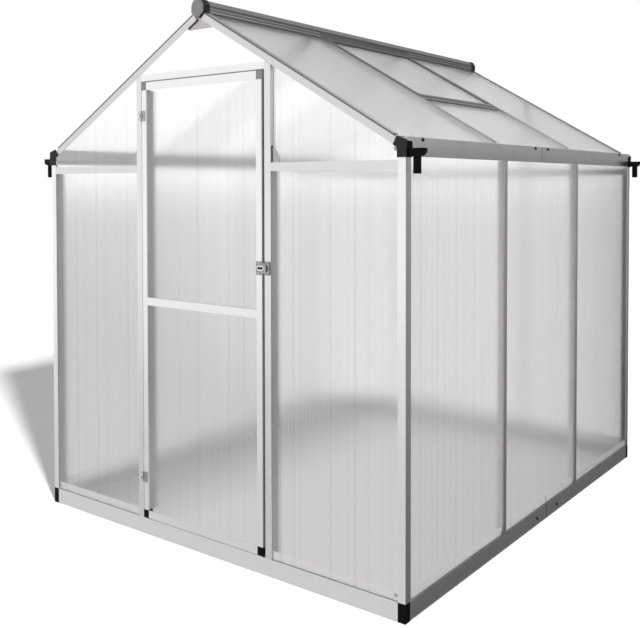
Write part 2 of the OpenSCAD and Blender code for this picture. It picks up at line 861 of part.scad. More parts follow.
module door_corners() {
    color(black) for (side = [0, 1], end = [0, 1])
        mirror([side, 0, 0]) translate([0, 0, end * (2 * door_z + door_h)]) mirror([0, 0, end])
            translate([-door_w / 2, door_y, door_z]) door_corner();
}

module door_seals() {
    color(black) {
        both_sides() translate([stile_x, door_y + skin, door_z + rail_h])
            cube([seal_t, door_d - 2 * skin, door_h - 2 * rail_h]);
        translate([-stile_x, door_y + skin, door_z + door_h]) cube([2 * stile_x, door_d - 2 * skin, head_seal]);
    }
}

module door_sheets() {
    reach = stile_x - stile_box - fit;
    half_box = rail_box / 2 + fit;
    color(sheet_tint) for (z = [[door_z + rail_box + fit, middle_rail_z - half_box],
                                [middle_rail_z + half_box, door_z + door_h - rail_box - fit]])
        translate([-reach, door_y + sheet_in, z[0]]) cube([2 * reach, sheet_t, z[1] - z[0]]);
}

// Hinges: the post leaf carries the pin, the door leaf turns on it

module knuckle(z, height) {
    translate([hinge_x, hinge_y, z]) cylinder(r = knuckle_r, h = height);
}

module post_leaf(z) {
    low = z - hinge_h / 2;
    edge = -gable_post_x + gable_post_flange / 2;
    translate([0, 0, low]) linear_extrude(hinge_h) {
        translate([edge - leaf_w - leaf_t, -half_l - leaf_t]) square([leaf_w, leaf_t]);
    }
    for (part = [0, 2]) {
        translate([0, 0, low + part * knuckle_split]) linear_extrude(knuckle_split)
            polygon([[edge - 2 * leaf_t, -half_l], [edge - 4 * leaf_t, -half_l - leaf_t],
                     [hinge_x - knuckle_r / 2, hinge_y], [hinge_x, hinge_y + knuckle_r / 2]]);
        knuckle(low + part * knuckle_split, knuckle_split);
    }
    translate([hinge_x, hinge_y, low]) cylinder(r = pin_r, h = hinge_h);
}

module post_hinge_leaves() {
    color(silver) for (z = [hinge_low, hinge_high]) post_leaf(z);
}

module door_leaf(z) {
    low = z - hinge_h / 2;
    inner_x = hinge_x + knuckle_r + 3 * fit;
    middle = knuckle_split - 2 * fit;
    difference() {
        union() {
            translate([inner_x, door_y - leaf_t, low]) cube([leaf_w, leaf_t, hinge_h]);
            knuckle(z - middle / 2, middle);
            translate([hinge_x, hinge_y, z - middle / 2])
                cube([leaf_w / 2, door_y - hinge_y, middle]);
        }
        translate([hinge_x, hinge_y, low]) cylinder(r = pin_r + pin_fit, h = hinge_h);
    }
}

module door_hinge_leaves() {
    color(silver) for (z = [hinge_low, hinge_high]) door_leaf(z);
}

// Latch: a slotted hasp on the door that slips over a turn button on the post

module latch_hasp() {
    left = stile_x - latch_w - seal_t;
    right = gable_post_x + button_r + latch_w / 4;
    color(silver) difference() {
        union() {
            translate([left, door_y - leaf_t, latch_z - latch_h / 2]) cube([latch_w, leaf_t, latch_h]);
            translate([left, door_y - leaf_t, latch_z - hasp_slot_h * 3 / 4])
                cube([right - left + hasp_slot_w / 2, leaf_t, hasp_slot_h * 3 / 2]);
        }
        translate([gable_post_x - hasp_slot_w / 2, door_y - 2 * leaf_t, latch_z - hasp_slot_h / 2])
            cube([hasp_slot_w, 3 * leaf_t, hasp_slot_h]);
    }
}

module latch_staple() {
    plate_y = -half_l - leaf_t;
    tip_y = door_y - leaf_t - button_reach;
    color(silver) {
        translate([gable_post_x - latch_w / 2, plate_y, latch_z - latch_h / 2]) cube([latch_w, leaf_t, latch_h]);
        translate([gable_post_x, plate_y + eps, latch_z]) rotate([90, 0, 0])
            cylinder(r = button_r, h = plate_y - tip_y);
        translate([gable_post_x - button_r, tip_y, latch_z - button_h / 2])
            cube([2 * button_r, button_reach / 2, button_h]);
    }
}

base_front();
base_back();
base_left();
base_right();
base_joiners();
base_corners();
corner_posts();
left_wall_bars();
right_wall_bars();
front_posts();
back_posts();
front_eave_rails();
back_eave_rails();
door_header();
left_gutter();
right_gutter();
gutter_joiners();
gutter_ends();
front_rafters();
back_rafters();
left_roof_bars();
right_roof_bars();
ridge_beam();
ridge_ends();
left_wall_sheets();
right_wall_sheets();
front_wall_sheets();
back_wall_sheets();
front_gable_sheets();
back_gable_sheets();
left_roof_sheets();
right_roof_sheets();
vent_sill_bar();
vent_frame();
vent_sheet();
post_hinge_leaves();
latch_staple();
door_stiles();
door_top_rail();
door_middle_rail();
door_bottom_rail();
door_corners();
door_seals();
door_sheets();
door_hinge_leaves();
latch_hasp();
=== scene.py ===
"""Finishes, fasteners and stage for a walk-in greenhouse of aluminium bars and twin-wall sheets."""
import math

import bmesh
import bpy
from bpy.props import FloatProperty, FloatVectorProperty, PointerProperty
from mathutils import Matrix, Vector


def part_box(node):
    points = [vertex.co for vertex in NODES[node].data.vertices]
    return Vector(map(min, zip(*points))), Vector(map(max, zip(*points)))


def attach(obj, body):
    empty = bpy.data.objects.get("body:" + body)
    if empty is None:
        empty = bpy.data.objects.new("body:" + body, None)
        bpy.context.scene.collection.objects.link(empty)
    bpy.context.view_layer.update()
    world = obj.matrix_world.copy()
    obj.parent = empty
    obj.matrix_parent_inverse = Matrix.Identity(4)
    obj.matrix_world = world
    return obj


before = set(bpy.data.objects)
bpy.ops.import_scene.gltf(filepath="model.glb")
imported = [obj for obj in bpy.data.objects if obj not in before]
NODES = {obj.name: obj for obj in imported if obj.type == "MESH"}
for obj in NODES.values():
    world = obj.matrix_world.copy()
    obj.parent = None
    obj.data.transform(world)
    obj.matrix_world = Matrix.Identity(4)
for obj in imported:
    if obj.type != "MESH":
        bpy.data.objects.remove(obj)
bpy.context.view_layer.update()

bl_info = {
    "name": "Walk-in greenhouse",
    "version": (1, 0, 0),
    "blender": (4, 5, 0),
    "location": "3D View > Sidebar > Greenhouse",
    "description": "Finishes the frame, sheets and mouldings of a greenhouse and sets its stage",
    "category": "Object",
}

MM = 0.001

# Nodes by finish, and the extrusions by the way that they run
WALL_BARS = ("left_wall_bars", "right_wall_bars")
BASE_SIDES = ("base_left", "base_right", "base_joiners")
GABLE_POSTS = ("front_posts", "back_posts")
DOOR_RAILS = ("door_top_rail", "door_middle_rail", "door_bottom_rail", "door_header")
GABLE_RAILS = ("front_eave_rails", "back_eave_rails")
GUTTERS = ("left_gutter", "right_gutter", "gutter_joiners")
RAFTERS = ("front_rafters", "back_rafters")
ROOF_BARS = ("left_roof_bars", "right_roof_bars")
VENT_BARS = ("vent_sill_bar", "vent_frame")
GABLE_SHEETS = ("front_wall_sheets", "back_wall_sheets", "front_gable_sheets",
                "back_gable_sheets", "door_sheets")
WALL_SHEETS = ("left_wall_sheets", "right_wall_sheets")
ROOF_SHEETS = ("left_roof_sheets", "right_roof_sheets", "vent_sheet")
PLATED_FITTINGS = ("latch_hasp", "latch_staple")

# Depth of a ridge end's face, and a height between the door's lower and upper corners
RIDGE_FACE = 8 * MM
DOOR_MIDDLE = 0.9
# The roof planes, and their height square to themselves
ROOF_PITCH = math.radians(30)
RAFTER_TOP = 1.7209

# How far up a face has to look to count as an upper one, from -1 to 1
UPWARD = 0.3

# The picture that the camera frames, in pixels
PICTURE_WIDTH = 640
# A wave texture's bands repeat every 2 pi / 20 units at a scale of 1
WAVE_LENGTH = 2 * math.pi / 20


def linear(hex_colour):
    """Linear red, green and blue of an sRGB hex colour."""
    values = [int(hex_colour[i:i + 2], 16) / 255 for i in (1, 3, 5)]
    return tuple(v / 12.92 if v <= 0.04045 else ((v + 0.055) / 1.055) ** 2.4 for v in values)


def add_node(tree, kind, settings=None, inputs=None):
    """Adds a node, sets its properties, and sets or links its inputs by name or number.
    A kind is a shader node's unless it says Node, and an input that is a node means its first output."""
    node = tree.nodes.new(kind if "Node" in kind else "ShaderNode" + kind)
    for key, value in (settings or {}).items():
        setattr(node, key, value)
    for key, value in (inputs or {}).items():
        if isinstance(value, bpy.types.Node):
            value = value.outputs[0]
        if isinstance(value, bpy.types.NodeSocket):
            tree.links.new(value, node.inputs[key])
        else:
            node.inputs[key].default_value = value
    return node


def new_material(name):
    """An empty node material and its tree."""
    material = bpy.data.materials.new(name)
    material.use_nodes = True
    material.node_tree.nodes.clear()
    return material, material.node_tree


def with_surface(material, shader):
    """The material, finished with the shader of its surface."""
    add_node(material.node_tree, "OutputMaterial", inputs={"Surface": shader})
    return material


def object_place(tree):
    """Object coordinates."""
    return add_node(tree, "TexCoord").outputs["Object"]


def object_axes(tree):
    """Object coordinates, split along the three axes."""
    return add_node(tree, "SeparateXYZ", inputs={"Vector": object_place(tree)}).outputs


def add_object(name, data):
    """Puts new data into the scene as an object."""
    thing = bpy.data.objects.new(name, data)
    bpy.context.scene.collection.objects.link(thing)
    return thing


def rgba(colour):
    """A colour with full alpha."""
    return (*colour, 1.0)


def shades(tree, share, colour, low, high):
    """A colour that runs from one brightness of itself to another, by a share."""
    dark, pale = ([min(1, c * bright) for c in colour] for bright in (low, high))
    return add_node(tree, "Mix", {"data_type": "RGBA"}, {
        0: share, 6: rgba(dark), 7: rgba(pale)}).outputs[2]


def colour_prop(name, description, hex_colour):
    """A colour that the panel shows, from its sRGB hex value."""
    return FloatVectorProperty(name=name, description=description, subtype="COLOR", size=3,
                               min=0, max=1, default=linear(hex_colour))


def length_prop(name, description, metres):
    """A length that the panel shows, in metres."""
    return FloatProperty(name=name, description=description, default=metres, min=0,
                         unit="LENGTH", precision=5)


def share_prop(name, description, value, most=1.0):
    """A plain share or strength that the panel shows."""
    return FloatProperty(name=name, description=description, default=value, min=0, max=most)


class SheetSettings(bpy.types.PropertyGroup):
    """Finish of the twin-wall sheets."""
    colour: colour_prop("Colour", "Tint of the polycarbonate", "#fffeff")
    milk: share_prop("Milk", "Share of the light that is scattered on its way through", 0.01)
    haze: share_prop("Haze", "Roughness that blurs what is behind a sheet", 0.24)
    rib_pitch: length_prop("Rib pitch", "Spacing of the ribs between the two skins", 6 * MM)
    rib_swell: length_prop("Rib swell", "Height by which the skins swell between the ribs", 0.45 * MM)
    roof_swell: length_prop("Roof swell", "Height by which the roof's skins swell", 0.08 * MM)
    streak: length_prop("Streak width", "Width of the extrusion streaks", 26 * MM)
    gable_gloss: share_prop("Gable gloss", "Gloss of the sheets in the gables and the door", 0.08)
    wall_gloss: share_prop("Wall gloss", "Gloss of the sheets in the side walls", 0.1)
    roof_gloss: share_prop("Roof gloss", "Gloss of the sheets in the roof", 0.2)


class MetalSettings(bpy.types.PropertyGroup):
    """Finish of the extrusions and plated fittings."""
    mill: colour_prop("Mill finish", "Colour of the plain extrusions", "#f6f4f6")
    coated: colour_prop("Coated", "Colour of the ridge and of the vent's bars", "#868487")
    plated: colour_prop("Plated", "Colour of the zinc-plated fittings", "#c9c7ca")
    dark_plate: colour_prop("Dark plate", "Colour of the hinge leaves on the door", "#b6b5b8")
    blackened: colour_prop("Blackened", "Colour of the bolts, nuts and bosses", "#4a494b")
    die_line: length_prop("Die line", "Spacing of the die lines along an extrusion", 3 * MM)


class MouldingSettings(bpy.types.PropertyGroup):
    """Finish of the plastic and rubber pieces."""
    plastic: colour_prop("Plastic", "Colour of the moulded end pieces", "#060607")
    dark_grey_and_sheen: colour_prop("Dark grey plastic and sheen", "Colour of the gutter ends' faces and the ridge ends' collars",
                       "#2e2d2f")
    grey: colour_prop("Grey plastic", "Colour of the ridge ends' faces and upper door corners",
                      "#8b888b")
    rubber: colour_prop("Rubber", "Colour of the door seals", "#7a797b")
    grain: length_prop("Grain", "Size of the moulding's grain", 1.2 * MM)


class FastenerSettings(bpy.types.PropertyGroup):
    """Sizes of the bolts, screws, webs and brackets."""
    bolt_radius: length_prop("Bolt radius", "Radius over the corners of a bolt's head", 5 * MM)
    bolt_height: length_prop("Bolt height", "Height of a bolt's head", 3 * MM)
    washer_radius: length_prop("Washer radius", "Outer radius of a bolt's washer", 6.5 * MM)
    washer_height: length_prop("Washer height", "Thickness of a washer", 1 * MM)
    screw_radius: length_prop("Screw radius", "Radius of a screw's head", 3.2 * MM)
    screw_height: length_prop("Screw height", "Height of a screw's head", 1.6 * MM)
    boss_radius: length_prop("Boss radius", "Radius of the two bosses on the hasp", 4.5 * MM)
    web: length_prop("Web thickness", "Thickness of the webs behind the gables' bars", 1.6 * MM)
    web_start: length_prop("Web start", "Depth behind a bar's face at which its web starts", 7.7 * MM)
    web_depth: length_prop("Web depth", "Depth behind a bar's face at which its web ends", 47 * MM)
    plate: length_prop("Bracket thickness", "Thickness of the brackets behind the gable sheets", 2 * MM)


class StageSettings(bpy.types.PropertyGroup):
    """Camera, floor and light."""
    eye: FloatVectorProperty(name="Eye", description="Where the camera stands", size=3,
                             subtype="TRANSLATION", unit="LENGTH",
                             default=(2.27775, -3.31838, 1.34980))
    yaw: FloatProperty(name="Yaw", description="Turn of the camera to the left of +Y",
                       subtype="ANGLE", default=0.6497)
    pitch: FloatProperty(name="Pitch", description="Tilt of the camera above the horizon",
                         subtype="ANGLE", default=-0.0260)
    roll: FloatProperty(name="Roll", description="Roll of the camera", subtype="ANGLE",
                        default=-0.0016)
    focal: FloatProperty(name="Focal length", description="Focal length in picture widths",
                         default=879.07 / PICTURE_WIDTH)
    shift: FloatProperty(name="Shift", description="Rise of the frame in picture widths",
                         default=-106.43 / PICTURE_WIDTH)
    floor: colour_prop("Floor", "Colour of the floor", "#c6c6c7")
    floor_mirrored: share_prop("Mirrored floor", "Brightness of the near floor in metal", 0.5)
    floor_inside: share_prop("Floor inside", "Brightness of the floor inside the house", 0.585)
    floor_through: share_prop("Floor through sheets", "Brightness of the floor through a sheet", 0.64)
    back_card: share_prop("Back card", "Brightness of the right part of the card over the roof", 0.72)
    sky: share_prop("Sky", "Light from all round", 0.61)
    sky_through: share_prop("Sky through sheets", "Brightness of the sky through a sheet", 1.2, 2.0)
    sun: share_prop("Sun", "Strength of the lamp that casts the shadow", 9.6, 20.0)


def assign(names, material):
    """Gives a material to every slot of the named nodes."""
    for name in names:
        for slot in NODES[name].material_slots:
            slot.material = material


# Materials

def twin_wall(name, settings, across, gloss, swell):
    """Extruded twin-wall polycarbonate: milky, blurs what is behind it, and smears it across
    the ribs because the skins swell a little between them."""
    material, tree = new_material(name)
    ribs = add_node(tree, "TexWave", {"bands_direction": across},
                    {"Vector": object_place(tree), "Scale": WAVE_LENGTH / settings.rib_pitch})
    streaks = add_node(tree, "TexNoise", {"noise_dimensions": "1D"}, {
        "W": object_axes(tree)[across], "Scale": 1 / settings.streak, "Detail": 4.0, "Roughness": 0.7})
    milk = add_node(tree, "MapRange", inputs={
        "Value": streaks, "From Min": 0.3, "From Max": 0.7,
        "To Min": 0.0, "To Max": settings.milk * 2})
    clear_share = add_node(tree, "MapRange", inputs={
        "Value": streaks, "From Min": 0.3, "From Max": 0.52})
    bump = add_node(tree, "Bump", inputs={
        "Height": ribs.outputs["Fac"], "Distance": swell, "Strength": 1.0})
    # A low index lets light through the solid sheet as it passes the real one's thin skins,
    # and the coat gives the skins' own gloss
    clear = add_node(tree, "BsdfPrincipled", inputs={
        "Base Color": shades(tree, clear_share, settings.colour, 0.93, 1.0),
        "Roughness": settings.haze, "IOR": 1.12, "Transmission Weight": 1.0, "Coat Weight": gloss,
        "Coat Roughness": 0.12, "Coat IOR": 1.58, "Normal": bump})
    cloudy = add_node(tree, "BsdfTranslucent", inputs={"Color": rgba(settings.colour)})
    shader = add_node(tree, "MixShader", inputs={0: milk, 1: clear, 2: cloudy})
    return with_surface(material, shader)


def slope_height(tree):
    """Height square to the roof planes, which is the same all along a bar on either slope."""
    lean = add_node(tree, "Math", {"operation": "MULTIPLY"},
                    {0: from_middle(tree, "X"), 1: math.sin(ROOF_PITCH)})
    return add_node(tree, "Math", {"operation": "MULTIPLY_ADD"}, {
        0: object_axes(tree)["Z"], 1: math.cos(ROOF_PITCH), 2: lean})


def grain_place(tree, run):
    """Coordinates squeezed along the way that an extrusion runs, so that its marks are lines."""
    squeeze = 0.002
    scales = {"X": (squeeze, 1, 1), "Y": (1, squeeze, 1), "Z": (1, 1, squeeze)}
    if run in scales:
        return add_node(tree, "Mapping", inputs={"Vector": object_place(tree), "Scale": scales[run]})
    return add_node(tree, "CombineXYZ", inputs={"X": slope_height(tree), "Y": object_axes(tree)["Y"]})


def beyond(tree, value, limit, operation="GREATER_THAN"):
    """1 where a value is past a limit, or else 0."""
    return add_node(tree, "Math", {"operation": operation}, {0: value, 1: limit})


def where_both(tree, first, second):
    """1 where two shares are both 1, or else 0."""
    return add_node(tree, "Math", {"operation": "MULTIPLY"}, {0: first, 1: second})


def distance_from(tree, value, middle):
    """How far a value is from a middle one."""
    off = add_node(tree, "Math", {"operation": "SUBTRACT"}, {0: value, 1: middle})
    return add_node(tree, "Math", {"operation": "ABSOLUTE"}, {0: off})


def from_middle(tree, axis):
    """Distance from the middle of the house along an axis."""
    return distance_from(tree, object_axes(tree)[axis], 0.0)


def facing(tree, axis):
    """How far a surface looks along an axis, from -1 to 1."""
    normal = add_node(tree, "NewGeometry").outputs["Normal"]
    return add_node(tree, "SeparateXYZ", inputs={"Vector": normal}).outputs[axis]


def upper_face_shade(tree):
    """The faces of a bar that look up, which the roof bars darken as painted shade."""
    return beyond(tree, facing(tree, "Z"), UPWARD)


def inner_faces(tree):
    """What lies behind the sheets of the gables, where the tones paint shade, and a little painted light
    on the gable posts.
    """
    return beyond(tree, from_middle(tree, "Y"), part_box("back_wall_sheets")[0][1], "LESS_THAN")


def rafter_edge_shade(tree):
    """The top edge of the rafters' faces on the gables, a dark strip of painted shade."""
    edge = 6 * MM
    strip = beyond(tree, slope_height(tree), RAFTER_TOP - edge)
    return where_both(tree, strip, beyond(tree, facing(tree, "Z"), UPWARD, "LESS_THAN"))


def wall_inner_faces(tree):
    """What lies behind the sheets of the side walls."""
    return beyond(tree, from_middle(tree, "X"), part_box("right_wall_sheets")[0][0], "LESS_THAN")


def corner_inner_shade(tree):
    """What of the corner posts lies behind the sheets of the gables, where the tone paints shade."""
    return where_both(tree, inner_faces(tree), wall_inner_faces(tree))


def gutter_lips(tree):
    """The lips of the gutters behind the wall sheets, where they look outwards."""
    outwards = add_node(tree, "Math", {"operation": "MULTIPLY"},
                        {0: object_axes(tree)["X"], 1: facing(tree, "X")})
    return where_both(tree, wall_inner_faces(tree), beyond(tree, outwards, 0.2))


def sill_faces(tree):
    """The upstand of the base behind the sheets, which its tone makes pale and matt."""
    return beyond(tree, object_axes(tree)["Z"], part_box("base_corners")[1][2] + 0.5 * MM)


def seam_at(tree, along):
    """A narrow joint across a long bar."""
    half_seam = 2.5 * MM
    return beyond(tree, distance_from(tree, object_axes(tree)["Y"], along), half_seam, "LESS_THAN")


def gutter_seams(tree):
    """The joints half-way along the gutters."""
    return seam_at(tree, -28 * MM)


def base_seams(tree):
    """The joints half-way along the sides of the base."""
    return seam_at(tree, 40 * MM)


def ridge_highlights(tree):
    """Two lines along the ridge's sides in the end bays, painted highlights of the coat."""
    below_top, from_each_other, half_line, end_bay = 34 * MM, 12 * MM, 1.4 * MM, 350 * MM
    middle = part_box("ridge_beam")[1][2] - below_top
    away = distance_from(tree, object_axes(tree)["Z"], middle)
    line = beyond(tree, distance_from(tree, away, from_each_other / 2), half_line, "LESS_THAN")
    return where_both(tree, line, beyond(tree, from_middle(tree, "Y"), end_bay))


def extruded_metal(name, settings, colour, run, tones=(), roughness=0.3):
    """Extruded aluminium: a satin sheen with faint die lines along the bar and cloudy handling marks.
    Each tone gives a part of the bar another brightness, on most parts a painted shade or a painted
    highlight, and says how far it is bare."""
    material, tree = new_material(name)
    lines = add_node(tree, "TexNoise", inputs={
        "Vector": grain_place(tree, run), "Scale": 1 / settings.die_line,
        "Detail": 3.0, "Roughness": 0.6})
    clouds = add_node(tree, "TexNoise", inputs={
        "Vector": object_place(tree), "Scale": 9.0, "Detail": 3.0, "Roughness": 0.6})
    cloud_share = 0.4
    marks = add_node(tree, "Mix", {"data_type": "FLOAT"}, {0: cloud_share, 2: lines, 3: clouds})
    ramp = add_node(tree, "MapRange", inputs={
        "Value": marks, "From Min": 0.3, "From Max": 0.7,
        "To Min": roughness - 0.05, "To Max": roughness + 0.07})
    tint = shades(tree, marks, colour, 0.93, 1.05)
    bare = 1.0
    for where, brightness, metal in tones:
        share = where(tree)
        tint = add_node(tree, "Mix", {"data_type": "RGBA"}, {
            0: share, 6: tint, 7: rgba([min(1, c * brightness) for c in colour])}).outputs[2]
        bare = add_node(tree, "Mix", {"data_type": "FLOAT"}, {0: share, 2: bare, 3: metal})
    bump = add_node(tree, "Bump", inputs={"Height": lines, "Distance": 0.04 * MM, "Strength": 0.6})
    shader = add_node(tree, "BsdfPrincipled", inputs={
        "Base Color": tint, "Metallic": bare, "Roughness": ramp, "Normal": bump})
    return with_surface(material, shader)


def moulded_plastic(name, settings, colour, second=None, axis="Z", start=0.0, roughness=0.34):
    """Moulded plastic or rubber: a fine grain breaks up the highlight, with paler scuffed spots.
    A second colour, where given, takes over beyond a distance from the middle along an axis."""
    material, tree = new_material(name)
    place = object_place(tree)
    texture = add_node(tree, "TexNoise", inputs={
        "Vector": place, "Scale": 1 / settings.grain, "Detail": 2.0})
    scuffs = add_node(tree, "TexNoise", inputs={
        "Vector": place, "Scale": 45.0, "Detail": 4.0, "Roughness": 0.65})
    tint = shades(tree, scuffs, colour, 0.7, 1.5)
    if second:
        tint = add_node(tree, "Mix", {"data_type": "RGBA"}, {
            0: beyond(tree, from_middle(tree, axis), start), 6: tint,
            7: shades(tree, scuffs, second, 0.8, 1.2)}).outputs[2]
    gloss = add_node(tree, "MapRange", inputs={
        "Value": scuffs, "From Min": 0.3, "From Max": 0.7,
        "To Min": roughness - 0.06, "To Max": roughness + 0.1})
    bump = add_node(tree, "Bump", inputs={"Height": texture, "Distance": 0.08 * MM, "Strength": 0.5})
    shader = add_node(tree, "BsdfPrincipled", inputs={
        "Base Color": tint, "Roughness": gloss, "IOR": 1.49,
        "Specular IOR Level": 0.08, "Normal": bump})
    return with_surface(material, shader)


def plated_steel(name, colour, depth=0.2):
    """Zinc-plated pressed steel: bright, with the cloudy spangle of the plating, darker by the depth."""
    material, tree = new_material(name)
    spangle = add_node(tree, "TexVoronoi", inputs={
        "Vector": object_place(tree), "Scale": 1 / (5 * MM), "Randomness": 1.0})
    tint = shades(tree, spangle, colour, 1 - depth, 1.0)
    gloss = add_node(tree, "MapRange", inputs={"Value": spangle, "To Min": 0.24, "To Max": 0.42})
    shader = add_node(tree, "BsdfPrincipled", inputs={
        "Base Color": tint, "Metallic": 1.0, "Roughness": gloss})
    return with_surface(material, shader)


class GREENHOUSE_OT_finish_sheets(bpy.types.Operator):
    """Give the twin-wall sheets their translucent, ribbed finish"""
    bl_idname = "greenhouse.finish_sheets"
    bl_label = "Finish sheets"

    def execute(self, context):
        settings = context.scene.greenhouse_sheets
        for part, names, across, gloss, swell in (
                ("gables", GABLE_SHEETS, "X", settings.gable_gloss, settings.rib_swell),
                ("walls", WALL_SHEETS, "Y", settings.wall_gloss, settings.rib_swell),
                ("roof", ROOF_SHEETS, "Y", settings.roof_gloss, settings.roof_swell)):
            assign(names, twin_wall("twin_wall_polycarbonate_" + part, settings, across, gloss, swell))
        return {"FINISHED"}


class GREENHOUSE_OT_finish_metals(bpy.types.Operator):
    """Give the extrusions and plated fittings their metal finishes, and make those of the fasteners"""
    bl_idname = "greenhouse.finish_metals"
    bl_label = "Finish metals"

    def execute(self, context):
        settings = context.scene.greenhouse_metals
        pale_sill = (sill_faces, 1.0, 0.0)
        # Pieces of one set, the way that they run, a painted shade that makes some sets darker than
        # others, and its tones
        shaded_sets = {
            # On inner faces the tones are painted shade, and on the gable posts a little painted light
            "corner_posts": (("corner_posts",), "Z", 1.0, [(corner_inner_shade, 0.6, 1.0)]),
            "wall_bars": (WALL_BARS, "Z", 0.95, [(wall_inner_faces, 1.0, 0.0)]),
            "door_stiles": (("door_stiles",), "Z", 1.0, [(inner_faces, 0.6, 1.0)]),
            "gable_posts": (GABLE_POSTS, "Z", 0.88, [(inner_faces, 1.1, 1.0)]),
            "base_ends": (("base_front", "base_back"), "X", 1.0, [pale_sill]),
            "base_sides": (BASE_SIDES, "Y", 1.0, [pale_sill, (base_seams, 0.2, 1.0)]),
            "door_rails": (DOOR_RAILS, "X", 1.0, [(inner_faces, 0.5, 1.0)]),
            "gable_rails": (GABLE_RAILS, "X", 0.82, [(inner_faces, 0.45, 1.0)]),
            "gutters": (GUTTERS, "Y", 1.0, [(gutter_seams, 0.3, 1.0), (gutter_lips, 1.0, 0.0)]),
            # The rafters' top edges are darkened as painted shade
            "rafters": (RAFTERS, "SLOPE", 0.76, [(rafter_edge_shade, 0.25, 1.0)]),
            # The roof bars' upper faces are darkened as painted shade
            "roof_bars": (ROOF_BARS, "SLOPE", 0.95, [(upper_face_shade, 0.3, 1.0)]),
        }
        for shaded_set, (names, run, bright, tones) in shaded_sets.items():
            assign(names, extruded_metal("mill_aluminium_" + shaded_set, settings,
                                         [c * bright for c in settings.mill], run, tones))
        coat_roughness = 0.42
        # The ridge's two bright lines are painted highlights
        assign(("ridge_beam",), extruded_metal("coated_aluminium_ridge", settings, settings.coated, "Y",
                                               [(ridge_highlights, 2.2, 1.0)], coat_roughness))
        assign(VENT_BARS, extruded_metal("coated_aluminium", settings, settings.coated, "Y",
                                         roughness=coat_roughness))
        assign(PLATED_FITTINGS, plated_steel("zinc_plated_steel", settings.plated, depth=0.75))
        assign(("post_hinge_leaves",), plated_steel("bright_zinc_plate", settings.mill))
        assign(("door_hinge_leaves",), plated_steel("dark_zinc_plate", settings.dark_plate))
        plated_steel("blackened_steel", settings.blackened)
        plated_steel("zinc_plated_brackets", settings.plated)
        return {"FINISHED"}


class GREENHOUSE_OT_finish_mouldings(bpy.types.Operator):
    """Give the moulded ends, corners and seals their plastic and rubber finishes"""
    bl_idname = "greenhouse.finish_mouldings"
    bl_label = "Finish mouldings"

    def execute(self, context):
        settings = context.scene.greenhouse_mouldings
        # A piece's material and colour, and another colour past a distance along an axis
        plastics = {
            "base_corners": ("moulded_polypropylene", settings.plastic),
            # The faces of the gutter ends on the gables are paler than their sides, a painted reflection
            "gutter_ends": ("moulded_polypropylene_gutter", settings.plastic, settings.dark_grey_and_sheen, "Y",
                            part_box("left_gutter")[1][1]),
            # The ridge ends have a grey face before their dark collar, a painted reflection on the dark
            # plastic
            "ridge_ends": ("moulded_polypropylene_ridge", settings.dark_grey_and_sheen, settings.grey, "Y",
                           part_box("ridge_ends")[1][1] - RIDGE_FACE),
            # The upper door corners are grey and the lower ones black
            "door_corners": ("moulded_polypropylene_door", settings.plastic, settings.grey, "Z",
                             DOOR_MIDDLE),
        }
        for node, (name, colour, *other) in plastics.items():
            assign((node,), moulded_plastic(name, settings, colour, *other))
        assign(("door_seals",), moulded_plastic("seal_rubber", settings, settings.rubber, roughness=0.62))
        return {"FINISHED"}


# Bolts, screws, webs and brackets

